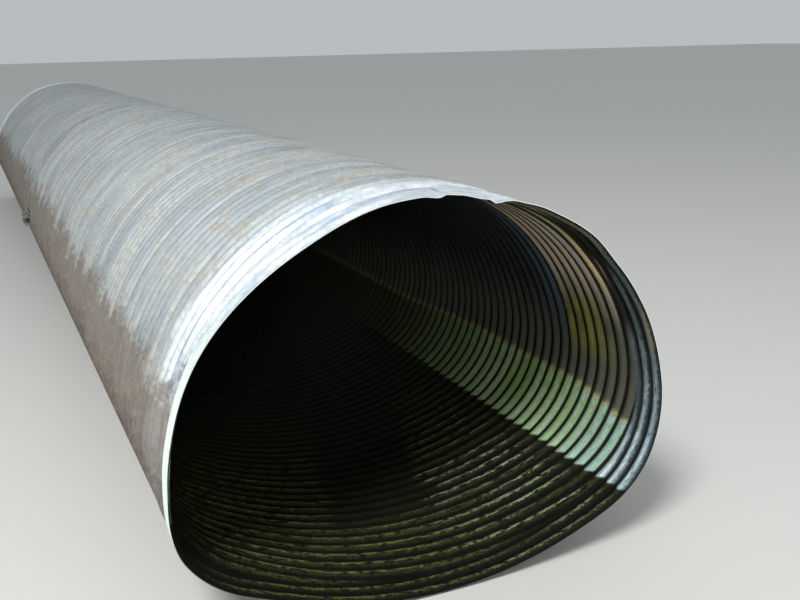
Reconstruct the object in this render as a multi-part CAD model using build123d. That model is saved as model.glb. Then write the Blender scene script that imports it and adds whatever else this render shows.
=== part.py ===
from build123d import *
import math
import os

# Corrugated steel pipe-arch culvert: two helically wound sections, their ends re-rolled to ring
# corrugations, joined in the middle by a bolted two-piece band. Millimetres, +Z up, +Y along the
# pipe from the seen mouth to the far one, origin under the middle on the lowest outside crest.

# Waterway, measured between the crests of the corrugation inside
SPAN = 2000.0
TOP_RADIUS = 1010.0
CORNER_RADIUS = 475.0
BOTTOM_RADIUS = 1580.0

# Pipe sections
SECTION_LENGTH = 6096.0
JOINT_GAP = 6.0
WALL = 2.8

# Corrugation of the barrel, 3 x 1 in; bends are measured at mid wall
BARREL_PITCH = 76.2
BARREL_DEPTH = 25.4
BARREL_BEND = 15.7

# Ring corrugation of the re-rolled ends, 2 2/3 x 1/2 in
END_PITCH = 67.7
END_DEPTH = 12.7
END_BEND = 18.9
END_WAVES = 2
RUN_OUT_MIN = 38.1

# Coupling band over the joint, with an angle riveted to each end of its two halves
BAND_WALL = 1.6
SEAT = 0.3
BAND_SPLIT_GAP = 40.0
ANGLE_LEG = 51.0
ANGLE_WALL = 4.8
BOLT_RADIUS = 6.35
BOLT_HOLE_CLEARANCE = 1.0
BOLT_OVERHANG = 22.0
BOLT_INSET = 56.0
NUT_ACROSS_FLATS = 19.0
NUT_HEIGHT = 11.0

# The wall is cut along the pipe into lengths: the crown's arc into five, the invert's into two
CROWN_CUTS = 5
CUT_GAP = 0.3

# Mid-wall arcs of the pipe-arch: crown, two corners and invert, tangent where they meet
CREST_REACH = BARREL_DEPTH / 2 + WALL / 2
OUTER_CREST = 2 * CREST_REACH
CORNER_X = SPAN / 2 - CORNER_RADIUS
CORNER_TO_CROWN = math.sqrt((TOP_RADIUS - CORNER_RADIUS) ** 2 - CORNER_X ** 2)
CORNER_TO_INVERT = math.sqrt((BOTTOM_RADIUS - CORNER_RADIUS) ** 2 - CORNER_X ** 2)
INVERT_Z = OUTER_CREST + BOTTOM_RADIUS
CORNER_Z = INVERT_Z - CORNER_TO_INVERT
CROWN_Z = CORNER_Z - CORNER_TO_CROWN
CROWN_HALF_ANGLE = math.degrees(math.atan2(CORNER_X, CORNER_TO_CROWN))
INVERT_HALF_ANGLE = math.degrees(math.atan2(CORNER_X, CORNER_TO_INVERT))
CROWN = (0.0, CROWN_Z, TOP_RADIUS + CREST_REACH)
CORNER = (CORNER_X, CORNER_Z, CORNER_RADIUS + CREST_REACH)
INVERT = (0.0, INVERT_Z, BOTTOM_RADIUS + CREST_REACH)


def slope_angle(first, second):
    """Angle of the flank between a crest and the valley next to it."""
    across = second[0] - first[0]
    bends = first[2] + second[2]
    rest = bends - abs(first[1] - second[1])
    flank = math.sqrt(across ** 2 + rest ** 2 - bends ** 2)
    return math.atan2(bends, flank) - math.atan2(rest, across)


def wave_edges(bends, lift):
    """Edges of one face of the sheet, lifted off mid wall; a bend is (y, height, radius, side)."""
    edges = []
    leave = None
    for index, (y, height, radius, side) in enumerate(bends):
        turn_in = 0.0
        turn_out = 0.0
        if index > 0 and bends[index - 1][3] != side:
            turn_in = slope_angle(bends[index - 1], bends[index])
        if index < len(bends) - 1 and bends[index + 1][3] != side:
            turn_out = slope_angle(bends[index], bends[index + 1])
        face_radius = radius + side * lift

        def at(turn):
            drop = side * face_radius * (1 - math.cos(turn))
            return (y + face_radius * math.sin(turn), height + lift - drop)

        if leave is not None:
            edges.append(Line(leave, at(-turn_in)))
        edges.append(ThreePointArc(at(-turn_in), at((turn_out - turn_in) / 2), at(turn_out)))
        leave = at(turn_out)
    return edges


def sheet_face(bends, wall):
    """Closed profile of the sheet: local X runs along the pipe, local Y away from its axis."""
    outer = wave_edges(bends, wall / 2)
    inner = wave_edges(bends, -wall / 2)
    ends = [Line(outer[0] @ 0, inner[0] @ 0), Line(outer[-1] @ 1, inner[-1] @ 1)]
    return make_face(Wire(outer + inner + ends))


def section_bends(start):
    """Crests and valleys of one pipe section that begins at start."""
    ring = END_DEPTH / 2
    barrel = BARREL_DEPTH / 2
    ring_length = END_WAVES * END_PITCH
    middle = SECTION_LENGTH - 2 * ring_length
    waves = int((middle - 2 * RUN_OUT_MIN) / BARREL_PITCH)
    run_out = (middle - waves * BARREL_PITCH) / 2
    near = []
    for half in range(2 * END_WAVES + 1):
        side = 1 if half % 2 == 0 else -1
        near.append((half * END_PITCH / 2, side * ring, END_BEND, side))
    bends = list(near)
    for half in range(2 * waves + 1):
        side = -1 if half % 2 == 0 else 1
        y = ring_length + run_out + half * BARREL_PITCH / 2
        bends.append((y, side * barrel, BARREL_BEND, side))
    for y, height, radius, side in reversed(near):
        bends.append((SECTION_LENGTH - y, height, radius, side))
    return [(start + y, height, radius, side) for y, height, radius, side in bends]


def band_bends():
    """Crests and valleys of the coupling band, which copies the ends it grips."""
    lift = WALL / 2 + SEAT + BAND_WALL / 2
    right = []
    for half in range(2 * END_WAVES + 1):
        side = 1 if half % 2 == 0 else -1
        y = JOINT_GAP / 2 + half * END_PITCH / 2
        right.append((y, side * END_DEPTH / 2 + lift, END_BEND + side * lift, side))
    left = [(-y, height, radius, side) for y, height, radius, side in reversed(right)]
    return left + right


def sweep_arc(profile, arc, start, end):
    """Turn the sheet profile about one arc's centre, angles measured from straight up to +X."""
    centre_x, centre_z, radius = arc
    turn = math.radians(start)
    outward = (math.sin(turn), 0, math.cos(turn))
    plane = Plane(origin=(centre_x, 0, centre_z), x_dir=(0, 1, 0), z_dir=(math.cos(turn), 0, -math.sin(turn)))
    placed = plane * Pos(0, radius, 0) * profile
    axis = Axis((centre_x, 0, centre_z), (0, 1, 0))
    return revolve(placed, axis, end - start)


def mirrored(shape):
    return mirror(shape, about=Plane.YZ)


def wall_length(profile, arc, start, end):
    """One length of the wall, clear of its neighbours by half the cut's gap at each edge."""
    margin = math.degrees(CUT_GAP / 2 / arc[2])
    return sweep_arc(profile, arc, start + margin, end - margin)


def wall_lengths(profile):
    """The wall of one section, cut along the pipe into lengths named from the crown down."""
    parts = {}
    step = 2 * CROWN_HALF_ANGLE / CROWN_CUTS
    corner_end = 180 - INVERT_HALF_ANGLE
    parts["crown_centre"] = wall_length(profile, CROWN, -step / 2, step / 2)
    right = {
        "crown_right_shoulder": wall_length(profile, CROWN, step / 2, 3 * step / 2),
        "crown_right_side": wall_length(profile, CROWN, 3 * step / 2, CROWN_HALF_ANGLE),
        "right_corner": wall_length(profile, CORNER, CROWN_HALF_ANGLE, corner_end),
        "right_invert": wall_length(profile, INVERT, corner_end, 180),
    }
    for name, length in right.items():
        parts[name] = length
        parts[name.replace("right", "left")] = mirrored(length)
    return parts


def band_halves():
    """Upper and lower half of the coupling band, parted at the widest level."""
    profile = sheet_face(band_bends(), BAND_WALL)
    corner_radius = CORNER[2]
    part_angle = math.degrees(math.asin(BAND_SPLIT_GAP / 2 / corner_radius))
    crown = sweep_arc(profile, CROWN, -CROWN_HALF_ANGLE, CROWN_HALF_ANGLE)
    upper_corner = sweep_arc(profile, CORNER, CROWN_HALF_ANGLE, 90 - part_angle)
    lower_corner = sweep_arc(profile, CORNER, 90 + part_angle, 180 - INVERT_HALF_ANGLE)
    invert = sweep_arc(profile, INVERT, 180 - INVERT_HALF_ANGLE, 180 + INVERT_HALF_ANGLE)
    upper = crown + upper_corner + mirrored(upper_corner)
    lower = invert + lower_corner + mirrored(lower_corner)
    return upper, lower


def band_half_length():
    return JOINT_GAP / 2 + END_WAVES * END_PITCH


def angle_reach():
    """Distance from the middle of the pipe to the back of a band angle."""
    outer_crest = CORNER[0] + CORNER[2] + END_DEPTH / 2 + WALL / 2
    return outer_crest + SEAT + BAND_WALL + SEAT


def band_angle(up):
    """Steel angle at one end of a band half; its flat leg carries the bolts."""
    length = 2 * band_half_length()
    flat = Box(ANGLE_LEG, length, ANGLE_WALL, align=(Align.MIN, Align.CENTER, Align.MIN))
    back = Box(ANGLE_WALL, length, ANGLE_LEG, align=(Align.MIN, Align.CENTER, Align.MIN))
    shape = flat + back
    hole = Cylinder(BOLT_RADIUS + BOLT_HOLE_CLEARANCE, 3 * ANGLE_WALL)
    for y in bolt_places():
        shape -= Pos(bolt_reach(), y, 0) * hole
    if not up:
        shape = mirror(shape, about=Plane.XY)
    side = 1 if up else -1
    return Pos(angle_reach(), 0, CORNER_Z + side * BAND_SPLIT_GAP / 2) * shape


def bolt_reach():
    """Distance from the back of an angle to its bolts."""
    return ANGLE_WALL + (ANGLE_LEG - ANGLE_WALL) / 2


def bolt_places():
    place = band_half_length() - BOLT_INSET
    return [-place, place]


def band_bolt(y):
    """Bolt through both angles, head on top and nut below."""
    grip = BAND_SPLIT_GAP + 2 * ANGLE_WALL
    shank = Cylinder(BOLT_RADIUS, grip + NUT_HEIGHT + BOLT_OVERHANG, align=(Align.CENTER, Align.CENTER, Align.MAX))
    hexagon = extrude(RegularPolygon(NUT_ACROSS_FLATS / 2, 6, major_radius=False), NUT_HEIGHT)
    bolt = shank + hexagon + Pos(0, 0, -grip - NUT_HEIGHT) * hexagon
    return Pos(angle_reach() + bolt_reach(), y, CORNER_Z + grip / 2) * bolt


os.makedirs("parts", exist_ok=True)
parts = {}
for section, start in (("near", -SECTION_LENGTH - JOINT_GAP / 2), ("far", JOINT_GAP / 2)):
    profile = sheet_face(section_bends(start), WALL)
    for name, shape in wall_lengths(profile).items():
        parts[section + "_" + name] = shape
parts["band_upper_half"], parts["band_lower_half"] = band_halves()
for level, up in (("upper", True), ("lower", False)):
    parts["band_right_" + level + "_angle"] = band_angle(up)
    parts["band_left_" + level + "_angle"] = mirrored(band_angle(up))
for place, y in zip(("front", "rear"), bolt_places()):
    parts["band_right_" + place + "_bolt"] = band_bolt(y)
    parts["band_left_" + place + "_bolt"] = mirrored(band_bolt(y))

for name, shape in parts.items():
    export_step(shape, "parts/" + name + ".step", write_pcurves=False)
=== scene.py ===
import math

import bmesh
import bpy
from mathutils import Matrix, Vector


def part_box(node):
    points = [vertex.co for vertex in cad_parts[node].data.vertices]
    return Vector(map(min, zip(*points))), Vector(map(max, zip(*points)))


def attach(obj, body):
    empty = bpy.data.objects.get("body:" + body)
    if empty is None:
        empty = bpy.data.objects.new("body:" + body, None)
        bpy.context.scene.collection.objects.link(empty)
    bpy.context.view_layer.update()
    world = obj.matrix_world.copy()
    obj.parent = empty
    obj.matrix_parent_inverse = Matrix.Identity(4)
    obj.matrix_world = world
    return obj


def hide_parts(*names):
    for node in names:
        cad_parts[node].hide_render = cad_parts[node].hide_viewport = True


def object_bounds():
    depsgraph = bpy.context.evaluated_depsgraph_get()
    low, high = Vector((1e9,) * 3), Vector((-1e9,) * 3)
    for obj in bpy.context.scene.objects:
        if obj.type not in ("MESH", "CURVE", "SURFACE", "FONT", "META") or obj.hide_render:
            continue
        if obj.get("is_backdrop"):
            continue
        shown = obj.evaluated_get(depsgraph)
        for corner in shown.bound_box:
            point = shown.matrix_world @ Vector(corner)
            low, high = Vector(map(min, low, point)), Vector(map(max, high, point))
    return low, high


# Corrugated steel pipe-arch culvert. Metres, +Z up, +Y along the pipe from the near mouth to the far one.

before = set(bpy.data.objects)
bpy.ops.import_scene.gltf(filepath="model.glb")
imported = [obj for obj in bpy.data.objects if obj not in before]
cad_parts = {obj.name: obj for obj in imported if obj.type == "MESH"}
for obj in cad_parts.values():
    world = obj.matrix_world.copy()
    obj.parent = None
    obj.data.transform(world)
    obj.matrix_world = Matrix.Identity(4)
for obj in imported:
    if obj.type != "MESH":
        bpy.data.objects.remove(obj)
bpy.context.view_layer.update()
print("frame loaded with", len(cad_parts), "nodes")

scene = bpy.context.scene

# the arch and its sheet, sizes as in the source
arch = {
    "span": 2.0,  # between the inside crests
    "crownRadius": 1.01,
    "cornerRadius": 0.475,
    "invertRadius": 1.58,
    "wall": 0.0028,
    "pitch": 0.0762,  # 3 x 1 in barrel corrugation
    "depth": 0.0254,
    "bend": 0.0157,
    "ringPitch": 0.0677,  # 2 2/3 x 1/2 in re-rolled ends
    "ringDepth": 0.0127,
    "ringBend": 0.0189,
    "ringZone": 0.125,  # where the rings begin to die out
    "runOut": 0.085,  # where the helical waves are back to full depth
    "sectionLength": 6.096,
    "jointGap": 0.006,
    "wavesPerTurn": 8,  # one 24 in strip
    "weld": 0.0004,  # closes the sheet along the invert
    "smooth": math.radians(38),  # sharper edges stay sharp
}

reach = arch["depth"] / 2 + arch["wall"] / 2
cornerX = arch["span"] / 2 - arch["cornerRadius"]
cornerToCrown = math.sqrt((arch["crownRadius"] - arch["cornerRadius"]) ** 2 - cornerX ** 2)
cornerToInvert = math.sqrt((arch["invertRadius"] - arch["cornerRadius"]) ** 2 - cornerX ** 2)
invertZ = 2 * reach + arch["invertRadius"]
cornerZ = invertZ - cornerToInvert
crownZ = cornerZ - cornerToCrown
crownAngle = math.atan2(cornerX, cornerToCrown)
invertAngle = math.atan2(cornerX, cornerToInvert)
crownReach = arch["crownRadius"] + reach
cornerReach = arch["cornerRadius"] + reach
invertReach = arch["invertRadius"] + reach
crownRun = crownReach * crownAngle
cornerRun = cornerReach * (math.pi - invertAngle - crownAngle)
invertRun = invertReach * invertAngle
girth = 2 * (crownRun + cornerRun + invertRun)
lead = arch["pitch"] * arch["wavesPerTurn"]


def archPoint(share, height):
    # share runs from -0.5 to 0.5 round the arch with the crown at 0, height is outwards from mid wall
    run = abs(share) * girth
    if run < crownRun:
        turn, radius, x, z = run / crownReach, crownReach, 0.0, crownZ
    elif run < crownRun + cornerRun:
        turn, radius, x, z = crownAngle + (run - crownRun) / cornerReach, cornerReach, cornerX, cornerZ
    else:
        turn = math.pi - invertAngle + (run - crownRun - cornerRun) / invertReach
        radius, x, z = invertReach, 0.0, invertZ
    side = 1 if share >= 0 else -1
    return side * (x + (radius + height) * math.sin(turn)), z + (radius + height) * math.cos(turn)


def flankAngle(pitch, depth, bend):
    across = pitch / 2
    rest = 2 * bend - depth
    flank = math.sqrt(across ** 2 + rest ** 2 - 4 * bend ** 2)
    return math.atan2(2 * bend, flank) - math.atan2(rest, across)


def waveHeight(along, pitch, depth, bend):
    # arcs and straight flanks; along is measured from an inner crest
    half = pitch / 2
    off = abs((along + half) % pitch - half)
    slope = flankAngle(pitch, depth, bend)
    bendRun = bend * math.sin(slope)
    if off < bendRun:
        return -depth / 2 + bend - math.sqrt(bend ** 2 - off ** 2)
    if off > half - bendRun:
        return depth / 2 - bend + math.sqrt(bend ** 2 - (half - off) ** 2)
    return -depth / 2 + bend * (1 - math.cos(slope)) + (off - bendRun) * math.tan(slope)


def smoothStep(value):
    value = min(max(value, 0.0), 1.0)
    return value * value * (3 - 2 * value)


def sheetHeight(share, y, seam):
    # y is measured from the section's near end, seam is where its first seam crosses the crown
    fromEnd = min(y, arch["sectionLength"] - y)
    barrel = waveHeight(y - seam - lead * share, arch["pitch"], arch["depth"], arch["bend"])
    mix = smoothStep((fromEnd - arch["ringZone"]) / arch["runOut"])
    if mix == 1:
        return barrel
    ring = waveHeight(fromEnd + arch["ringPitch"] / 2, arch["ringPitch"], arch["ringDepth"], arch["ringBend"])
    return ring * (1 - mix) + barrel * mix


def ringNumber(section, share, y):
    # inner crests counted in from the section's open mouth
    if section == "near":
        near = sections["near"]
        return (y - near["seam"] - lead * share) / arch["pitch"] - near["skipped"]
    return (arch["sectionLength"] - y + lead * share) / arch["pitch"]


def waveRows(pitch, depth, bend, perBend):
    # rows of one pitch from an inner crest to the next, closer together in the bends
    slope = flankAngle(pitch, depth, bend)
    turns = [slope * (2 * step / perBend - 1) for step in range(perBend + 1)]
    inner = [bend * math.sin(turn) for turn in turns]
    outer = [pitch / 2 + offset for offset in inner]
    rows = [offset for offset in inner if offset >= 0] + outer
    rows += [pitch + offset for offset in inner if offset < 0]
    return sorted(rows)


def archColumns(crown, corner, invert):
    # shares round the arch, with so many steps in each half's arcs
    runs = [crownRun * step / crown for step in range(crown)]
    runs += [crownRun + cornerRun * step / corner for step in range(corner)]
    runs += [crownRun + cornerRun + invertRun * step / invert for step in range(invert + 1)]
    half = [run / girth for run in runs]
    return [-share for share in reversed(half[1:])] + half


# the two sections: seam is where the first lock seam crosses the crown, measured from the section's near end, and
# skipped is how many crests lie between it and the first that is counted
sections = {
    "near": {"start": -arch["sectionLength"] - arch["jointGap"] / 2, "seam": -0.4197, "skipped": 6},
    "far": {"start": arch["jointGap"] / 2, "seam": -0.2},
}

# how the near rim is knocked out of true, as (share round the arch, push inwards)
rimLine = (
    (-0.400, 0.0), (-0.315, -0.028), (-0.262, 0.008), (-0.187, -0.009), (-0.091, 0.014), (-0.035, 0.004),
    (-0.0125, 0.0055), (0.0055, 0.0048), (0.0156, 0.0074), (0.0318, 0.0160), (0.045, 0.0145), (0.0575, 0.0005),
    (0.082, -0.010), (0.122, -0.019), (0.152, -0.007), (0.190, -0.005), (0.262, 0.0075), (0.335, -0.007), (0.400, 0.0),
)
# how far in from the rim the knocks reach: less far between two shares round the crown, and nowhere past the end
knocks = {"reach": 0.30, "crownReach": 0.13, "crownFrom": -0.05, "crownTo": 0.07, "end": 0.4}
# the sharp fold right of the crown: its tip's place, push and the share that it fades over on each side
fold = {"tip": 0.0417, "push": 0.011, "left": 0.0045, "right": 0.0065}
# a tear left of the fold runs in from the rim through sheet that is knocked flat, and the tab beside it is bent down
tear = {
    "mouth": 0.0055,  # the tear's share at the rim
    "end": 0.0068,  # and at its inner end
    "deep": 0.150,
    "hinge": -0.0125,  # the share of the tab's far side at the rim
    "curl": 0.009,  # how far the tab is bent down
    "curlReach": 0.045,
    "gap": 0.011,  # at its widest
    "drawn": 0.04,  # how much of the tab draws back from the gap
    "slit": 2e-5,  # share between the torn sides where there is no gap
    "flat": 0.05,  # share over which the rings rise again
    "flatRise": 1.6,
    "flatEnd": 0.19,
    "flatFade": 0.04,
    "margin": 0.02,  # of the sheet that is cut
    "columnsFrom": -0.0141,  # closer columns round the torn rim
    "columnStep": 0.00113,
    "columns": 60,
}


def rimDent(share, y):
    if share <= rimLine[0][0] or share >= rimLine[-1][0]:
        return 0.0
    after = next(index for index, point in enumerate(rimLine) if point[0] > share)
    (first, low), (second, high) = rimLine[after - 1], rimLine[after]
    push = low + (high - low) * smoothStep((share - first) / (second - first))
    off = share - fold["tip"]
    push += fold["push"] * max(0.0, 1 - abs(off) / (fold["left"] if off < 0 else fold["right"]))
    byCrown = knocks["crownFrom"] < share < knocks["crownTo"]
    push *= smoothStep(1 - y / knocks["crownReach" if byCrown else "reach"])
    tearAt = tear["mouth"] + (tear["end"] - tear["mouth"]) * y / tear["deep"]
    if share < tearAt - tear["slit"] / 2 and y < tear["deep"]:
        # how far the point is past the tab's hinge, which runs from the rim to the tear's end
        hingeAt = tear["hinge"] + (tear["end"] - tear["hinge"]) * y / tear["deep"]
        past = (share - hingeAt) / (tear["mouth"] - tear["hinge"])
        if past > 0:
            curl = math.sin(math.pi * min(past / (1 - y / tear["deep"]), 1.0) ** 2)
            push += tear["curl"] * curl * smoothStep(1 - y / tear["curlReach"])
    return push


def knockedFlat(share, y, height):
    # how far the end rings are pushed out to their crests round the tear
    aside = abs(share - tear["end"]) / tear["flat"]
    flat = smoothStep(tear["flatRise"] * (1 - aside)) * smoothStep((tear["flatEnd"] - y) / tear["flatFade"])
    return (arch["ringDepth"] / 2 - height) * flat


def cutTear(bm):
    # rips the flat sheet along the tear and draws the tab's side of the rip back from it
    def near(vert):
        return abs(vert.co.x - tear["mouth"]) < tear["margin"] and vert.co.y < tear["deep"] + tear["margin"]

    faces = [face for face in bm.faces if all(near(vert) for vert in face.verts)]
    edges = {edge for face in faces for edge in face.edges}
    verts = {vert for face in faces for vert in face.verts}
    across = Vector((tear["deep"], tear["mouth"] - tear["end"], 0))
    cut = bmesh.ops.bisect_plane(
        bm, geom=list(verts) + list(edges) + faces, dist=1e-7, plane_co=(tear["mouth"], 0, 0), plane_no=across)
    ripped = [edge for edge in cut["geom_cut"] if isinstance(edge, bmesh.types.BMEdge)]
    ripped = [edge for edge in ripped if all(vert.co.y < tear["deep"] for vert in edge.verts)]
    bmesh.ops.split_edges(bm, edges=ripped)
    for vert in [vert for vert in bm.verts if vert.co.y < tear["deep"]]:
        tearAt = tear["mouth"] + (tear["end"] - tear["mouth"]) * vert.co.y / tear["deep"]
        off = (tearAt - vert.co.x) * girth
        onTab = all(face.calc_center_median().x < tearAt for face in vert.link_faces)
        if -1e-5 < off < tear["drawn"] and onTab:
            widest = math.sin(math.pi * (vert.co.y / tear["deep"]) ** 1.5)
            opened = tear["gap"] * widest * smoothStep(1 - off / tear["drawn"])
            vert.co.x -= tear["slit"] + opened / girth


def trimSheet(bm, low, high):
    # cuts the flat sheet square at both ends
    for level, side in ((low, -1), (high, 1)):
        geometry = list(bm.verts) + list(bm.edges) + list(bm.faces)
        bmesh.ops.bisect_plane(
            bm, geom=geometry, dist=1e-6, plane_co=(0, level, 0), plane_no=(0, side, 0), clear_outer=True)


def bendSheet(bm, section, lift):
    # sets the flat sheet, x its share and y its place along the section, on the corrugated wall or a little off it
    place = sections[section]
    rise = bm.verts.layers.float.new("rise")
    ring = bm.verts.layers.float.new("ring")
    for vert in bm.verts:
        share, y = vert.co.x, vert.co.y
        height = sheetHeight(share, y, place["seam"])
        vert[rise] = height / arch["depth"] + 0.5
        vert[ring] = ringNumber(section, share, y)
        if section == "near" and y < knocks["end"]:
            height += knockedFlat(share, y, height) - rimDent(share, y)
        x, z = archPoint(share, height + lift)
        vert.co = (x, place["start"] + y, z)


def wrapSheet(bm, section):
    # the wall's own sheet: its map runs along the strip that it is wound from
    place = sections[section]
    strip = bm.loops.layers.uv.new("strip")
    for face in bm.faces:
        middle = face.calc_center_median()
        turn = math.floor((middle.y - place["seam"]) / lead - middle.x)
        for loop in face.loops:
            flat = loop.vert.co
            across = flat.y - place["seam"] - lead * (flat.x + turn)
            loop[strip].uv = ((turn + flat.x + 0.5) * girth, across)
    bendSheet(bm, section, 0.0)
    bmesh.ops.remove_doubles(bm, verts=bm.verts, dist=arch["weld"])


def finishSheet(name, bm, thickness, materials):
    # gives a mid-wall sheet its thickness, with the second material inside and the third on the cut edge
    mesh = bpy.data.meshes.new(name + "Sheet")
    bm.to_mesh(mesh)
    bm.free()
    rough = bpy.data.objects.new(name + "Sheet", mesh)
    scene.collection.objects.link(rough)
    for material in materials:
        mesh.materials.append(material)
    shell = rough.modifiers.new("shell", "SOLIDIFY")
    shell.thickness = thickness
    shell.offset = 0
    shell.use_even_offset = True
    shell.material_offset = 1
    shell.material_offset_rim = 2
    bpy.context.view_layer.update()
    solid = bpy.data.meshes.new_from_object(rough.evaluated_get(bpy.context.evaluated_depsgraph_get()))
    bpy.data.objects.remove(rough)
    piece = bpy.data.objects.new(name, solid)
    scene.collection.objects.link(piece)
    solid.shade_smooth()
    solid.set_sharp_from_angle(angle=arch["smooth"])
    return piece


def colour(code):
    # sRGB hex to linear
    values = [int(code[place:place + 2], 16) / 255 for place in (1, 3, 5)]
    return tuple(v / 12.92 if v <= 0.04045 else ((v + 0.055) / 1.055) ** 2.4 for v in values) + (1.0,)


def addNode(tree, kind, settings=None, links=None):
    # settings name a socket or an attribute, links name an input and give the output that feeds it
    node = tree.nodes.new("ShaderNode" + kind)
    for name, value in (settings or {}).items():
        if isinstance(name, int) or name in node.inputs:
            node.inputs[name].default_value = value
        else:
            setattr(node, name, value)
    for name, source in (links or {}).items():
        tree.links.new(source, node.inputs[name])
    return node.outputs


def addPatterns(tree, *patterns):
    # noises: what each lies on, its scale or how it is stretched, its detail, roughness and distortion
    made = []
    for source, scale, detail, roughness, distortion in patterns:
        if isinstance(scale, tuple):
            source, scale = addNode(tree, "Mapping", {"Scale": scale}, {"Vector": source})[0], 1.0
        settings = {"Scale": scale, "Detail": detail, "Roughness": roughness, "Distortion": distortion}
        made.append(addNode(tree, "TexNoise", settings, {"Vector": source})[0])
    return made


def addLevels(tree, *levels):
    # what stains lie along: a value, and others that are added to it by the amount beside them
    made = []
    for level, *parts in levels:
        for value, amount in parts:
            level = addNode(tree, "Math", {"operation": "MULTIPLY_ADD", 1: amount}, {0: value, 2: level})[0]
        made.append(level)
    return made


def addMasks(tree, fades):
    # each rises from 0 to 1 as its value goes from the first bound to the second
    mask = {}
    for name, (value, first, second) in fades.items():
        settings = {"interpolation_type": "SMOOTHSTEP", "From Min": first, "From Max": second}
        mask[name] = addNode(tree, "MapRange", settings, {"Value": value})[0]
    return mask


def joinMasks(tree, mask, operation, joins):
    # adds masks that are others multiplied, or the greatest of others
    for name, (first, *others) in joins.items():
        mask[name] = mask[first]
        for other in others:
            mask[name] = addNode(tree, "Math", {"operation": operation}, {0: mask[name], 1: mask[other]})[0]


def layCoats(tree, finish, mask, coats):
    # from the bare zinc up: each coat's mask, its colour and how much of it shows
    tint = None
    for name, code, amount in coats:
        coat = addNode(tree, "Math", {"operation": "MULTIPLY", 1: amount}, {0: mask[name]})[0]
        settings = {"data_type": "RGBA", 6: colour(finish["zinc"]), 7: colour(finish[code])}
        tint = addNode(tree, "Mix", settings, {0: coat, 6: tint} if tint else {0: coat})[2]
    return tint


def newMaterial(name):
    material = bpy.data.materials.new(name)
    material.use_nodes = True
    material.node_tree.nodes.clear()
    return material, material.node_tree


def plainMaterial(name, code, roughness):
    material, tree = newMaterial(name)
    shader = addNode(tree, "BsdfPrincipled", {"Base Color": colour(code), "Roughness": roughness})[0]
    addNode(tree, "OutputMaterial", {}, {"Surface": shader})
    return material


# the inside: dull zinc above the flood line, a pale film of silt and algae below it, olive silt at the foot
insideFinish = {
    "zinc": "#56574c",
    "shadeZinc": "#2d3036",
    "blueZinc": "#5f6c7c",
    "paleZinc": "#b9b3a6",
    "tan": "#d6b88c",
    "rosyZinc": "#dcc28a",
    "ochre": "#96903a",
    "film": "#7c975f",
    "farDarkFilm": "#3d3a2c",
    "paleFilm": "#a9b8a4",
    "mouthFilm": "#8eaaae",
    "moss": "#6a8630",
    "crust": "#8d8050",
    "silt": "#0f110a",
    "farSilt": "#4c4f55",
    "siltLitFlank": "#2f2f15",
    "siltCrest": "#5c6238",
    "siltHighlight": "#a0bba4",
    "beadedZinc": "#a9c6b8",
    "ringZinc": "#abbec6",
    "ringShade": "#5f7176",
    "ringFlankShade": "#46545f",
    "ringWearAndGlint": "#cfe0e6",
    "ringDirt": "#34454b",
    "ringTan": "#a39b80",
    "ringTop": "#8a8062",
    "hollowShade": "#1b1b1c",
    "grooveDirtAndShade": "#0e0f0c",
    "nearRingCount": 6.6,  # rings from the mouth that carry the painted warm reflection and the ochre stains; painted shade lies past them
    "tide": 0.537,  # height of the flood line
    "siltLine": 0.256,  # height of the silt
    "leftShadeRise": 0.26,  # how much higher the dark silt coat reaches on the left wall, as painted shade
    "mouth": 6.099,  # from the middle of the pipe
}


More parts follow.
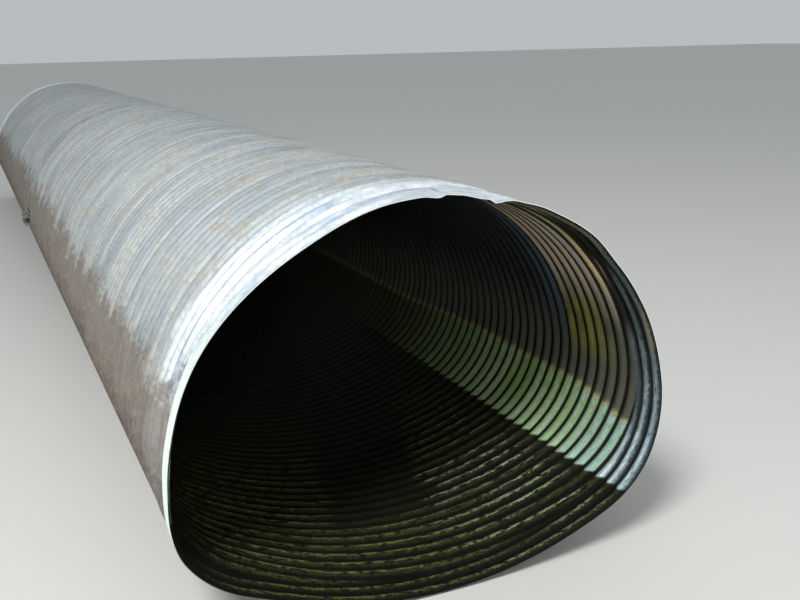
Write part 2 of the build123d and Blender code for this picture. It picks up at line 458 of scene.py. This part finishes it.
def galvanisedInside():
    # hot-dip galvanised sheet dulled by damp: soft broad sheen, stained ring by ring, with painted shade, painted
    # reflection and painted highlights
    f = insideFinish
    material, tree = newMaterial("galvanisedSteelInside")
    place = addNode(tree, "TexCoord")["Object"]
    strip = addNode(tree, "UVMap", {"uv_map": "strip"})[0]
    rise = addNode(tree, "Attribute", {"attribute_name": "rise"})["Fac"]
    ring = addNode(tree, "Attribute", {"attribute_name": "ring"})["Fac"]
    axes = addNode(tree, "SeparateXYZ", {}, {0: place})
    x, z = axes["X"], axes["Z"]
    middle = addNode(tree, "Math", {"operation": "ABSOLUTE"}, {0: axes["Y"]})[0]
    inward = addNode(tree, "Math", {"operation": "SUBTRACT", 0: f["mouth"]}, {1: middle})[0]
    patches, specks, stains, scratches, worn, flecks, mottle = addPatterns(
        tree,
        (place, 6.5, 4.0, 0.6, 0.0),  # patches about 150 mm across
        (place, 120.0, 3.0, 0.7, 0.0),  # specks about 8 mm
        (strip, (1.4, 22.0, 1.0), 3.0, 0.55, 0.0),  # stains drawn out along each ring, 45 mm wide
        (strip, (3.0, 400.0, 1.0), 2.0, 0.6, 0.0),  # scratches 2.5 mm apart
        (strip, (0.9, 5.0, 1.0), 6.0, 0.62, 0.0),  # worn lengths, 200 mm wide
        (strip, (60.0, 90.0, 1.0), 3.0, 0.6, 0.0),  # flecks about 17 x 11 mm
        (strip, (22.0, 80.0, 1.0), 5.0, 0.65, 0.2),  # algae blotches about 45 x 12 mm
    )
    lean = addMasks(tree, {
        "dip": (inward, 0.65, 0.0),
        "sag": (inward, 1.5, 2.7),
        "pastRings": (inward, 0.12, 0.18),
        "crown": (z, 1.27, 1.47),
        "left": (x, 0.1, -0.45),
    })
    # the dirt and painted shade in the grooves come further up the flanks in the crown than at the sides
    grooveDarkHigh = addNode(tree, "MapRange", {"From Min": 0.75, "From Max": 1.5}, {"Value": z})[0]
    grooveDarkHigh = addNode(tree, "Math", {"operation": "MULTIPLY"}, {0: grooveDarkHigh, 1: lean["pastRings"]})[0]
    level, grooveLevel, crestLevel, gapPlace, siltLevel, siltPlace = addLevels(
        tree,
        # the flood line dips towards the mouth and again far in, and its edge wanders
        (z, (lean["dip"], 0.078), (lean["sag"], 0.042), (patches, 0.024), (mottle, 0.04)),
        (rise, (grooveDarkHigh, 0.52), (lean["crown"], 0.16)),
        # the silted crests have ragged edges
        (rise, (flecks, 0.5)),
        # painted shade: a dark band in the hollow between the last winding crest and the level rings leans back
        # towards the foot
        (inward, (z, 0.2)),
        # painted shade: the dark silt coat reaches higher on the left wall
        (z, (patches, 0.0072), (lean["left"], -f["leftShadeRise"])),
        # the thick silt in the middle leans over to the right further in
        (x, (stains, 0.3), (inward, -0.25)),
    )
    tide, siltLine, nearRings = f["tide"], f["siltLine"], f["nearRingCount"]
    mask = addMasks(tree, {
        "belowTide": (level, tide + 0.042, tide + 0.020),
        "crustLow": (level, tide + 0.006, tide + 0.024),
        "crustHigh": (level, tide + 0.056, tide + 0.034),
        "mossLow": (level, tide - 0.288, tide + 0.002),
        "mossPatch": (mottle, 0.46, 0.58),
        "palePatch": (stains, 0.54, 0.42),
        "nearMouth": (inward, 0.80, 0.12),
        "farDarkFilm": (inward, 0.8, 2.8),
        "silted": (siltLevel, siltLine + 0.0096, siltLine - 0.0004),
        "sunk": (siltLevel, siltLine - 0.0004, siltLine - 0.0814),
        "crest": (crestLevel, 0.42, 0.30),
        "flank": (crestLevel, 0.85, 0.51),
        "groove": (grooveLevel, 0.62, 0.78),
        "farIn": (inward, 1.0, 3.6),
        "nearSilt": (inward, 2.0, 0.4),
        "nearSheen": (inward, 1.9, 0.7),
        "sheenSide": (x, 0.05, 0.75),
        "wornCrest": (worn, 0.34, 0.54),
        "brokenCrest": (mottle, 0.44, 0.56),
        "siltPatch": (mottle, 0.34, 0.54),
        "offWall": (x, -0.98, -0.68),
        "leftOfMiddle": (siltPlace, -0.18, -0.30),
        "rightOfMiddle": (siltPlace, 0.22, 0.27),
        "beforeMiddle": (inward, 0.66, 0.56),
        "ringZone": (inward, 0.185, 0.135),
        "ringCrest": (crestLevel, 0.61, 0.49),
        "ringFlank": (rise, 0.30, 0.42),
        "ringGroove": (crestLevel, 0.69, 0.85),
        "ringLow": (z, 0.95, 0.45),
        "ringHigh": (z, 1.50, 1.32),
        "ringUp": (z, 1.16, 1.34),
        "beaded": (patches, 0.50, 0.62),
        "wearPatch": (mottle, 0.50, 0.60),
        "dirtPatch": (mottle, 0.46, 0.36),
        "tanStreak": (stains, 0.54, 0.66),
        "gapFront": (gapPlace, 0.316, 0.332),
        "gapBack": (gapPlace, 0.390, 0.374),
        "gapSide": (z, 0.82, 0.96),
        "nearRings": (ring, nearRings + 0.1, nearRings - 0.12),
        "deeper": (ring, nearRings - 0.12, nearRings + 0.1),
        "winding": (ring, -0.45, -0.10),
        "lastCrest": (ring, 1.3, 0.9),
        "right": (x, 0.0, 0.72),
        "rosyHigh": (z, 0.98, 1.16),
        "tanHigh": (z, 0.84, 1.20),
        "tanPatch": (stains, 0.40, 0.58),
        "ochreTop": (z, 1.08, 0.90),
        "ochreLow": (z, 0.62, 0.80),
        "ochreRings": (ring, 1.0, 3.0),
        "ochrePatch": (patches, 0.30, 0.60),
        "shadeHigh": (z, 0.62, 1.05),
        "blueRings": (ring, 9.5, nearRings),
    })
    joinMasks(tree, mask, "MULTIPLY", {"siltRing": ("ringZone", "ringCrest")})
    joinMasks(tree, mask, "MAXIMUM", {
        "anyCrest": ("crest", "siltRing"),
        "clear": ("leftOfMiddle", "rightOfMiddle", "beforeMiddle"),
        "muddy": ("silted", "groove"),
    })
    # the flanks hardly show through the thick silt in the middle
    mask["thin"] = addNode(tree, "MapRange", {"To Min": 0.25, "To Max": 1.0}, {"Value": mask["clear"]})[0]
    joinMasks(tree, mask, "MULTIPLY", {
        "shade": ("deeper", "shadeHigh"),
        "blue": ("shade", "blueRings"),
        "warmReflection": ("nearRings", "winding", "tanHigh", "right"),
        "tan": ("warmReflection", "tanPatch"),
        "rosy": ("warmReflection", "lastCrest", "rosyHigh"),
        "ochre": ("ochreTop", "ochreLow", "nearRings", "ochreRings", "ochrePatch"),
        "paleFilm": ("belowTide", "palePatch"),
        "mouthFilm": ("belowTide", "nearMouth"),
        "moss": ("belowTide", "mossLow", "mossPatch"),
        "farDarkening": ("belowTide", "farDarkFilm"),
        "crust": ("crustLow", "crustHigh"),
        "ringSide": ("ringZone", "ringHigh"),
        "ringLit": ("ringSide", "ringLow"),
        "ringBeads": ("ringLit", "beaded"),
        "ringTop": ("ringZone", "ringUp"),
        "ringTan": ("ringSide", "tanStreak"),
        "ringWearAndGlint": ("ringLit", "wearPatch"),
        "ringDirt": ("ringSide", "dirtPatch"),
        "ringShadedFlank": ("ringLit", "ringFlank"),
        "ringDark": ("ringZone", "ringGroove"),
        "gap": ("gapFront", "gapBack", "gapSide"),
        "farSilt": ("silted", "farIn"),
        "siltLitFlank": ("silted", "flank", "offWall", "siltPatch", "thin"),
        # crests that stay half clean and carry a painted highlight near the mouth, level rings at the mouth and
        # winding ones further in
        "crestWearAndHighlight": ("anyCrest", "wornCrest", "brokenCrest", "sunk", "nearSilt", "offWall", "clear"),
        "siltHighlight": ("crestWearAndHighlight", "nearSheen", "sheenSide"),
    })
    tint = layCoats(tree, f, mask, (
        # painted shade: rings past the near ones are darkened high up, turning blue-grey next to the near rings
        ("shade", "shadeZinc", 0.9),
        ("blue", "blueZinc", 0.5),
        # painted reflection: pale, tan and rosy coats on the near rings high on the right stand for warm light bounced
        # in off the ground
        ("warmReflection", "paleZinc", 0.85),
        ("tan", "tan", 0.5),
        ("rosy", "rosyZinc", 0.75),
        ("ochre", "ochre", 0.6),
        ("belowTide", "film", 0.95),
        ("paleFilm", "paleFilm", 0.4),
        ("mouthFilm", "mouthFilm", 0.75),
        ("moss", "moss", 0.6),
        # painted shade: the film darkens far in
        ("farDarkening", "farDarkFilm", 0.9),
        ("crust", "crust", 0.45),
        ("ringSide", "ringShade", 0.6),
        # painted light: the level rings are paler low down, with painted glints where the wear patches lie
        ("ringLit", "ringZinc", 0.95),
        ("ringBeads", "beadedZinc", 0.6),
        ("ringTop", "ringTop", 0.6),
        ("ringTan", "ringTan", 0.5),
        ("ringWearAndGlint", "ringWearAndGlint", 0.55),
        ("ringDirt", "ringDirt", 0.6),
        # painted shade on the flanks of the lower level rings
        ("ringShadedFlank", "ringFlankShade", 0.75),
        # painted shade in the hollow before the level rings
        ("gap", "hollowShade", 0.9),
        ("silted", "silt", 1.0),
        ("farSilt", "farSilt", 0.8),
        # painted light: flanks under the silt are lighter than the grooves
        ("siltLitFlank", "siltLitFlank", 0.85),
        ("crestWearAndHighlight", "siltCrest", 0.9),
        # painted highlight on the silted crests, on the right near the mouth
        ("siltHighlight", "siltHighlight", 0.55),
        # dirt and painted shade in the grooves
        ("groove", "grooveDirtAndShade", 0.97),
        ("ringDark", "grooveDirtAndShade", 0.8),
    ))
    # the film is darkened far in as painted shade, and specks and scratches break up every coat
    tone = addNode(tree, "MapRange", {"To Min": 1.0, "To Max": 0.55}, {"Value": mask["farDarkening"]})[0]
    for pattern, dark, light in ((specks, 0.8, 1.18), (scratches, 0.86, 1.1)):
        settings = {"From Min": 0.3, "From Max": 0.7, "To Min": dark, "To Max": light}
        grain = addNode(tree, "MapRange", settings, {"Value": pattern})[0]
        tone = addNode(tree, "Math", {"operation": "MULTIPLY"}, {0: tone, 1: grain})[0]
    shaded = addNode(tree, "VectorMath", {"operation": "SCALE"}, {0: tint, "Scale": tone})[0]
    # silt and groove dirt are dull and not metal
    settings = {"From Min": 0.3, "From Max": 0.7, "To Min": 0.36, "To Max": 0.58}
    gloss = addNode(tree, "MapRange", settings, {"Value": patches})[0]
    gloss, = addLevels(tree, (gloss, (mask["ringZone"], -0.12), (mask["muddy"], 0.4)))
    bare = addNode(tree, "MapRange", {"To Min": 0.5, "To Max": 0.12}, {"Value": mask["belowTide"]})[0]
    bare = addNode(tree, "Math", {"operation": "SUBTRACT", "use_clamp": True}, {0: bare, 1: mask["muddy"]})[0]
    bump = addNode(tree, "Bump", {"Strength": 0.25, "Distance": 0.002}, {"Height": specks})[0]
    # the damp film and silt give little shine of their own
    shader = addNode(
        tree, "BsdfPrincipled", {"Specular IOR Level": 0.1},
        {"Base Color": shaded, "Roughness": gloss, "Metallic": bare, "Normal": bump})[0]
    addNode(tree, "OutputMaterial", {}, {"Surface": shader})
    return material


# the outside: bright zinc at the open mouths, dull zinc with bedding soil along the buried length
outsideFinish = {
    "zinc": "#d9e2e8",
    "blueStreak": "#8ea6bb",
    "bloom": "#f6f9f9",
    "scuff": "#5c6266",
    "buriedZinc": "#8f9798",
    "whiteRust": "#bcc2c0",
    "soil": "#94866f",
    "lowSoil": "#655b50",
    "darkSoilAndShade": "#4b4038",
    "lip": "#e2f2e9",
    "openLength": 0.34,  # how much of each end stays clean
    "spangle": 16.0,  # millimetres across
}


def galvanisedOutside():
    # hot-dip galvanised sheet in daylight: frosty spangle, long rolling streaks and white bloom, with painted shade in
    # the valleys and low down and a painted highlight on the lip
    f = outsideFinish
    material, tree = newMaterial("galvanisedSteelOutside")
    place = addNode(tree, "TexCoord")["Object"]
    strip = addNode(tree, "UVMap", {"uv_map": "strip"})[0]
    rise = addNode(tree, "Attribute", {"attribute_name": "rise"})["Fac"]
    axes = addNode(tree, "SeparateXYZ", {}, {0: place})
    z = axes["Z"]
    crystals = addNode(tree, "TexVoronoi", {"Scale": 1000.0 / f["spangle"]}, {"Vector": place})["Color"]
    facet = addNode(tree, "SeparateColor", {}, {0: crystals})[0]
    patches, clods, dents, bands, streaks, scratches = addPatterns(
        tree,
        (place, 4.0, 5.0, 0.62, 0.0),  # patches about 250 mm across
        (place, 34.0, 5.0, 0.68, 0.0),  # clods about 30 mm
        (place, 24.0, 3.0, 0.6, 0.6),  # dents about 40 mm
        (strip, (1.3, 13.0, 1.0), 3.0, 0.6, 0.3),  # bands that the rolling left, 77 mm wide
        (strip, (2.2, 55.0, 1.0), 4.0, 0.6, 0.0),  # streaks 18 mm wide
        (strip, (5.0, 260.0, 1.0), 3.0, 0.65, 0.0),  # scratches 4 mm apart
    )
    # distance from the nearer mouth
    middle = addNode(tree, "Math", {"operation": "ABSOLUTE"}, {0: axes["Y"]})[0]
    fromEnd = addNode(tree, "Math", {"operation": "SUBTRACT", 0: insideFinish["mouth"]}, {1: middle})[0]
    soilEdge, soilLevel, clodLevel = addLevels(
        tree,
        (fromEnd, (patches, 0.5)),
        (z, (patches, 0.5), (clods, 0.35)),
        (clods, (patches, 0.5)),
    )
    mask = addMasks(tree, {
        "bluePatch": (bands, 0.50, 0.64),
        "blueLine": (streaks, 0.56, 0.66),
        "bloom": (patches, 0.45, 0.60),
        "scuff": (dents, 0.67, 0.74),
        "buried": (soilEdge, f["openLength"] + 0.22, f["openLength"] + 0.36),
        "byCutEnd": (fromEnd, 0.080, 0.068),
        "lipLow": (z, 0.36, 0.47),
        "lipHigh": (z, 1.35, 1.0),
        "whiteRustPatch": (bands, 0.52, 0.38),
        "soilPatch": (clodLevel, 0.70, 0.95),
        "valley": (rise, 0.42, 0.10),
        "low": (soilLevel, 1.44, 1.30),
        "lowest": (soilLevel, 1.20, 0.86),
        "driedPatch": (clods, 0.50, 0.64),
    })
    joinMasks(tree, mask, "MULTIPLY", {
        "whiteRust": ("buried", "whiteRustPatch"),
        "soil": ("buried", "soilPatch"),
        "valleySoil": ("buried", "valley"),
        "dried": ("low", "driedPatch"),
        "lipHighlight": ("byCutEnd", "lipLow", "lipHigh"),
    })
    joinMasks(tree, mask, "MAXIMUM", {"dirty": ("low", "soil")})
    tint = layCoats(tree, f, mask, (
        ("bloom", "bloom", 0.85),
        ("bluePatch", "blueStreak", 0.55),
        ("blueLine", "blueStreak", 0.6),
        # painted shade: the valleys are tinted blue-grey
        ("valley", "blueStreak", 0.3),
        ("scuff", "scuff", 0.6),
        ("buried", "buriedZinc", 0.8),
        ("whiteRust", "whiteRust", 0.6),
        ("soil", "soil", 0.6),
        ("valleySoil", "soil", 0.45),
        # soil and painted shade: darker towards the bottom
        ("low", "lowSoil", 0.85),
        ("lowest", "darkSoilAndShade", 0.85),
        ("dried", "soil", 0.4),
        # painted highlight: a bright lip along the cut end at mid height
        ("lipHighlight", "lip", 0.85),
    ))
    frost = addNode(tree, "MapRange", {"To Min": 0.92, "To Max": 1.06}, {"Value": facet})[0]
    settings = {"From Min": 0.3, "From Max": 0.7, "To Min": 0.9, "To Max": 1.06}
    lines = addNode(tree, "MapRange", settings, {"Value": scratches})[0]
    tone = addNode(tree, "Math", {"operation": "MULTIPLY"}, {0: frost, 1: lines})[0]
    shaded = addNode(tree, "VectorMath", {"operation": "SCALE"}, {0: tint, "Scale": tone})[0]
    gloss = addNode(tree, "MapRange", {"To Min": 0.36, "To Max": 0.5}, {"Value": facet})[0]
    crumbs = addNode(tree, "Math", {"operation": "MULTIPLY"}, {0: clods, 1: mask["dirty"]})[0]
    gloss, relief = addLevels(tree, (gloss, (mask["buried"], 0.22)), (crumbs, (scratches, 0.35)))
    bare = addNode(tree, "MapRange", {"To Min": 0.5, "To Max": 0.0}, {"Value": mask["dirty"]})[0]
    bump = addNode(tree, "Bump", {"Strength": 0.5, "Distance": 0.0025}, {"Height": relief})[0]
    shader = addNode(
        tree, "BsdfPrincipled", {},
        {"Base Color": shaded, "Roughness": gloss, "Metallic": bare, "Normal": bump})[0]
    addNode(tree, "OutputMaterial", {}, {"Surface": shader})
    return material


# the sawn edges of the sheet
edgeFinish = {"zinc": "#dfe6e2", "rust": "#a98a68", "mud": "#33352c", "grit": 0.002}


def sawnEdge():
    # mild steel cut after galvanising: bright from the saw, first specks of rust, muddy low down
    f = edgeFinish
    material, tree = newMaterial("sawnSteelEdge")
    place = addNode(tree, "TexCoord")["Object"]
    marks, specks = addPatterns(
        tree,
        (place, 1 / f["grit"], 2.0, 0.5, 0.0),
        (place, 45.0, 4.0, 0.65, 0.0),  # rust specks about 22 mm
    )
    height = addNode(tree, "SeparateXYZ", {}, {0: place})["Z"]
    height, = addLevels(tree, (height, (specks, 0.12)))
    mask = addMasks(tree, {"rusty": (specks, 0.56, 0.70), "wetted": (height, 0.56, 0.44)})
    tint = layCoats(tree, f, mask, (("rusty", "rust", 0.6), ("wetted", "mud", 0.92)))
    tone = addNode(tree, "MapRange", {"To Min": 0.85, "To Max": 1.1}, {"Value": marks})[0]
    shaded = addNode(tree, "VectorMath", {"operation": "SCALE"}, {0: tint, "Scale": tone})[0]
    gloss = addNode(tree, "MapRange", {"To Min": 0.35, "To Max": 0.59}, {"Value": mask["rusty"]})[0]
    bump = addNode(tree, "Bump", {"Strength": 0.3, "Distance": 0.0005}, {"Height": marks})[0]
    shader = addNode(
        tree, "BsdfPrincipled", {"Metallic": 0.25},
        {"Base Color": shaded, "Roughness": gloss, "Normal": bump})[0]
    addNode(tree, "OutputMaterial", {}, {"Surface": shader})
    return material


outside = galvanisedOutside()
inside = galvanisedInside()
cutEdge = sawnEdge()
wallMaterials = (outside, inside, cutEdge)
print("wall finishes made")

# the wall in the lengths it is built in: rows in each bend, steps in crown, corner and invert
walls = {
    "endLength": 0.24,
    "overlap": 0.002,  # of the barrel over each end
    "ringRows": 60,
    "ringSteps": (64, 44, 36),
    "nearSteps": (28, 18, 16),
    "nearBend": 4,
    "nearPieces": 3,
    "farSteps": (22, 14, 12),
    "farBend": 3,
    "farPieces": 2,
}


def ringEnd(name, section, low, high, closer):
    # re-rolled end: rows at constant y, close enough to carry the fading helical waves
    columns = sorted(archColumns(*walls["ringSteps"]) + closer)
    bm = bmesh.new()
    bmesh.ops.create_grid(bm, x_segments=len(columns) - 1, y_segments=walls["ringRows"], size=1)
    for vert in bm.verts:
        column = round((vert.co.x + 1) / 2 * (len(columns) - 1))
        vert.co = (columns[column], low + (high - low) * (vert.co.y + 1) / 2, 0)
    if closer:
        cutTear(bm)
    wrapSheet(bm, section)
    return finishSheet(name, bm, arch["wall"], wallMaterials)


def barrel(name, section, low, high):
    # helical wall: rows follow the waves, and two planes trim the sheet to its length
    columns = archColumns(*walls[section + "Steps"])
    seam = sections[section]["seam"]
    first = math.floor((low - seam - lead / 2) / arch["pitch"])
    last = math.ceil((high - seam + lead / 2) / arch["pitch"])
    pitchRows = waveRows(arch["pitch"], arch["depth"], arch["bend"], walls[section + "Bend"])
    rows = [wave * arch["pitch"] + row for wave in range(first, last) for row in pitchRows]
    rows = sorted(set(round(row, 6) for row in rows))
    bm = bmesh.new()
    bmesh.ops.create_grid(bm, x_segments=len(columns) - 1, y_segments=len(rows) - 1, size=1)
    for vert in bm.verts:
        column = round((vert.co.x + 1) / 2 * (len(columns) - 1))
        row = round((vert.co.y + 1) / 2 * (len(rows) - 1))
        vert.co = (columns[column], seam + rows[row] + lead * columns[column], 0)
    trimSheet(bm, low, high)
    wrapSheet(bm, section)
    return finishSheet(name, bm, arch["wall"], wallMaterials)


# the folded lock seam: a flat ridge along every eighth inner crest, inside and out
seams = {
    "width": 0.011,
    "thickness": 0.0016,
    "insideLift": -0.0019,  # from mid wall
    "outsideLift": 0.0019,
    "margin": 0.012,  # from the section's ends
    "steps": 120,  # round one turn
}


def lockSeam(name, section, lift, material):
    seam, low, high = sections[section]["seam"], seams["margin"], arch["sectionLength"] - seams["margin"]
    first = math.floor((low - seam) / lead - 0.5)
    last = math.ceil((arch["sectionLength"] - seam) / lead + 0.5)
    bm = bmesh.new()
    bmesh.ops.create_grid(bm, x_segments=seams["steps"] * (last - first), y_segments=2, size=1)
    for vert in bm.verts:
        along = first + (last - first) * (vert.co.x + 1) / 2  # in turns
        vert.co = (along, seam + lead * along + vert.co.y * seams["width"] / 2, 0)
    trimSheet(bm, low, high)
    strip = bm.loops.layers.uv.new("strip")
    for face in bm.faces:
        for loop in face.loops:
            loop[strip].uv = (loop.vert.co.x * girth, loop.vert.co.y - seam - lead * loop.vert.co.x)
    for vert in bm.verts:
        vert.co.x = (vert.co.x + 0.5) % 1 - 0.5
    bendSheet(bm, section, lift)
    return finishSheet(name, bm, seams["thickness"], (material, material, material))


for section in sections:
    wallNodes = [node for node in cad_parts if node.startswith(section + "_")]
    length = arch["sectionLength"]
    end = walls["endLength"]
    closer = []
    if section == "near":
        closer = [tear["columnsFrom"] + step * tear["columnStep"] for step in range(tear["columns"])]
    made = [
        ringEnd(section + "_front_end", section, 0, end, closer),
        ringEnd(section + "_rear_end", section, length - end, length, []),
    ]
    count = walls[section + "Pieces"]
    for index in range(count):
        low = end + (length - 2 * end) * index / count
        high = end + (length - 2 * end) * (index + 1) / count
        if index == 0:
            low -= walls["overlap"]
        if index == count - 1:
            high += walls["overlap"]
        made.append(barrel(section + "_barrel_" + str(index + 1), section, low, high))
    made.append(lockSeam(section + "_lock_seam_inside", section, seams["insideLift"], inside))
    made.append(lockSeam(section + "_lock_seam_outside", section, seams["outsideLift"], outside))
    for piece in made:
        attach(piece, "root")
        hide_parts(*wallNodes)
        piece.data.calc_loop_triangles()
    print(section, "section:", [len(piece.data.loop_triangles) for piece in made], "triangles")

# the coupling band: plain rolled galvanised steel, soiled like the barrel
bandFinish = {
    "zinc": "#9aa2a5",
    "brightZinc": "#bcc4c8",
    "whiteRust": "#c7ccc9",
    "soil": "#94866f",
    "lowSoil": "#6c5d4c",
    "rust": "#8a5a3a",
    "spangle": 12.0,  # millimetres across
}


def bandSteel():
    # hot-dip galvanised strip: spangle, rolling lines round the pipe, white rust, soil in the hollows
    f = bandFinish
    material, tree = newMaterial("galvanisedBandSteel")
    place = addNode(tree, "TexCoord")["Object"]
    height = addNode(tree, "SeparateXYZ", {}, {0: place})["Z"]
    crystals = addNode(tree, "TexVoronoi", {"Scale": 1000.0 / f["spangle"]}, {"Vector": place})["Color"]
    facet = addNode(tree, "SeparateColor", {}, {0: crystals})[0]
    patches, clods, lines = addPatterns(
        tree,
        (place, 7.0, 5.0, 0.62, 0.0),  # patches about 140 mm across
        (place, 38.0, 5.0, 0.68, 0.0),  # clods about 26 mm
        (place, (4.0, 300.0, 4.0), 3.0, 0.6, 0.0),  # rolling lines 3 mm apart
    )
    soilLevel, relief = addLevels(tree, (height, (patches, 0.5), (clods, 0.35)), (clods, (lines, 0.4)))
    mask = addMasks(tree, {
        "bright": (lines, 0.50, 0.64),
        "whiteRust": (patches, 0.50, 0.64),
        "rust": (clods, 0.66, 0.74),
        "low": (soilLevel, 1.44, 1.14),
        "dried": (clods, 0.52, 0.68),
    })
    tint = layCoats(tree, f, mask, (
        ("bright", "brightZinc", 0.7),
        ("whiteRust", "whiteRust", 0.6),
        ("rust", "rust", 0.5),
        ("low", "lowSoil", 0.8),
        ("dried", "soil", 0.6),
    ))
    frost = addNode(tree, "MapRange", {"To Min": 0.88, "To Max": 1.1}, {"Value": facet})[0]
    shaded = addNode(tree, "VectorMath", {"operation": "SCALE"}, {0: tint, "Scale": frost})[0]
    gloss = addNode(tree, "MapRange", {"To Min": 0.42, "To Max": 0.648}, {"Value": mask["dried"]})[0]
    bare = addNode(tree, "MapRange", {"To Min": 0.6, "To Max": 0.0}, {"Value": mask["dried"]})[0]
    bump = addNode(tree, "Bump", {"Strength": 0.35, "Distance": 0.0015}, {"Height": relief})[0]
    shader = addNode(
        tree, "BsdfPrincipled", {},
        {"Base Color": shaded, "Roughness": gloss, "Metallic": bare, "Normal": bump})[0]
    addNode(tree, "OutputMaterial", {}, {"Surface": shader})
    return material


# the bolts: 1/2 in, zinc over steel
boltFinish = {"zinc": "#7f878b", "wornZinc": "#b4bcc0", "rust": "#7a4a2c", "threadPitch": 0.003}


def boltSteel():
    # galvanised bolts: dull grey zinc, pale on worn corners, rust starting, and the thread as fine level rings
    f = boltFinish
    material, tree = newMaterial("galvanisedBoltSteel")
    place = addNode(tree, "TexCoord")["Object"]
    patches, = addPatterns(tree, (place, 90.0, 4.0, 0.6, 0.0))  # patches about 11 mm across
    # the texture's wave repeats every 2 pi / 20 of its scaled length
    settings = {"bands_direction": "Z", "Scale": math.pi / 10 / f["threadPitch"], "Distortion": 0.0}
    threads = addNode(tree, "TexWave", settings, {"Vector": place})["Fac"]
    mask = addMasks(tree, {"worn": (patches, 0.50, 0.62), "rusty": (patches, 0.44, 0.34)})
    tint = layCoats(tree, f, mask, (("worn", "wornZinc", 0.7), ("rusty", "rust", 0.8)))
    gloss = addNode(tree, "MapRange", {"To Min": 0.38, "To Max": 0.716}, {"Value": mask["rusty"]})[0]
    bare = addNode(tree, "MapRange", {"To Min": 0.8, "To Max": 0.24}, {"Value": mask["rusty"]})[0]
    bump = addNode(tree, "Bump", {"Strength": 0.5, "Distance": 0.0008}, {"Height": threads})[0]
    shader = addNode(
        tree, "BsdfPrincipled", {},
        {"Base Color": tint, "Roughness": gloss, "Metallic": bare, "Normal": bump})[0]
    addNode(tree, "OutputMaterial", {}, {"Surface": shader})
    return material


band = bandSteel()
bolt = boltSteel()
for node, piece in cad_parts.items():
    if node.startswith("band_"):
        piece.data.materials.clear()
        piece.data.materials.append(bolt if node.endswith("_bolt") else band)

# rivets that hold the angles to the band: domed heads on the standing legs
rivets = {
    "radius": 0.007,
    "height": 0.0035,
    "places": (-0.120, -0.070, 0.0, 0.070, 0.120),
    "angleWall": 0.0048,
    "offMiddle": 0.008,  # clear of the flat leg
    "segments": 16,
    "rings": 8,
}
bm = bmesh.new()
for sideName, side in (("left", -1), ("right", 1)):
    for levelName, up in (("upper", 1), ("lower", -1)):
        low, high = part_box("band_" + sideName + "_" + levelName + "_angle")
        back = high[0] if side < 0 else low[0]
        middle = (low[2] + high[2]) / 2 + up * rivets["offMiddle"]
        for y in rivets["places"]:
            head = Matrix.Translation((back + side * rivets["angleWall"], y, middle))
            shape = Matrix.Diagonal((rivets["height"] / rivets["radius"], 1, 1, 1))
            bmesh.ops.create_uvsphere(
                bm, u_segments=rivets["segments"], v_segments=rivets["rings"], radius=rivets["radius"],
                matrix=head @ shape)
rivetMesh = bpy.data.meshes.new("band_rivets")
bm.to_mesh(rivetMesh)
bm.free()
rivetMesh.shade_smooth()
rivetMesh.materials.append(bolt)
rivetPiece = bpy.data.objects.new("band_rivets", rivetMesh)
scene.collection.objects.link(rivetPiece)
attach(rivetPiece, "root")
print("band, angles and bolts finished,", 4 * len(rivets["places"]), "rivets")

# the photograph's view
camera = {
    "place": (-1.5091, -9.2227, 2.0921),
    "turn": 0.4096,  # radians from +Y towards +X
    "tilt": -0.2564,
    "roll": -0.0203,
    "lens": 45.023,
    "sensor": 36.0,
    "sight": 200.0,
}
view = bpy.data.objects.new("camera", bpy.data.cameras.new("camera"))
scene.collection.objects.link(view)
view.data.sensor_width = camera["sensor"]
view.data.lens = camera["lens"]
view.data.clip_end = camera["sight"]
turned = Matrix.Rotation(-camera["turn"], 4, "Z") @ Matrix.Rotation(math.pi / 2 + camera["tilt"], 4, "X")
view.matrix_world = Matrix.Translation(camera["place"]) @ turned @ Matrix.Rotation(camera["roll"], 4, "Z")
scene.camera = view
scene.view_settings.view_transform = "Standard"  # a plain camera response, with no tone curve
print("camera set")

# studio: a pale floor, a large soft key from the upper left and a dim room
studio = {
    "floorSize": 240.0,
    "floorColour": "#cfcfca",
    "floorRoughness": 0.9,
    "keyPlace": (-6.0, -12.0, 11.0),
    "keyAim": (-0.3, -5.5, 0.8),
    "keySize": 4.0,
    "keyPower": 1700.0,
    "roomColour": "#e4e9ee",
    "roomStrength": 0.62,
    "fillPlace": (-3.2, -15.0, 3.4),  # a weak soft light into the mouth
    "fillAim": (0.7, -4.6, 0.5),
    "fillSize": 3.0,
    "fillPower": 200.0,
}
floorMesh = bpy.data.meshes.new("floor")
bm = bmesh.new()
bmesh.ops.create_grid(bm, x_segments=1, y_segments=1, size=studio["floorSize"] / 2)
bm.to_mesh(floorMesh)
bm.free()
floor = bpy.data.objects.new("floor", floorMesh)
scene.collection.objects.link(floor)
floorMesh.materials.append(plainMaterial("paleStudioFloor", studio["floorColour"], studio["floorRoughness"]))
floor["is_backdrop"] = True

for lamp in ("key", "fill"):
    light = bpy.data.objects.new(lamp, bpy.data.lights.new(lamp, "AREA"))
    scene.collection.objects.link(light)
    light.data.shape = "DISK"
    light.data.size = studio[lamp + "Size"]
    light.data.energy = studio[lamp + "Power"]
    light.location = studio[lamp + "Place"]
    aim = Vector(studio[lamp + "Aim"]) - light.location
    light.rotation_euler = aim.to_track_quat("-Z", "Y").to_euler()

room = bpy.data.worlds.new("room")
room.use_nodes = True
scene.world = room
room.node_tree.nodes.clear()
settings = {"Color": colour(studio["roomColour"]), "Strength": studio["roomStrength"]}
glow = addNode(room.node_tree, "Background", settings)[0]
addNode(room.node_tree, "OutputWorld", {}, {"Surface": glow})

bpy.context.view_layer.update()
low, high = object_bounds()
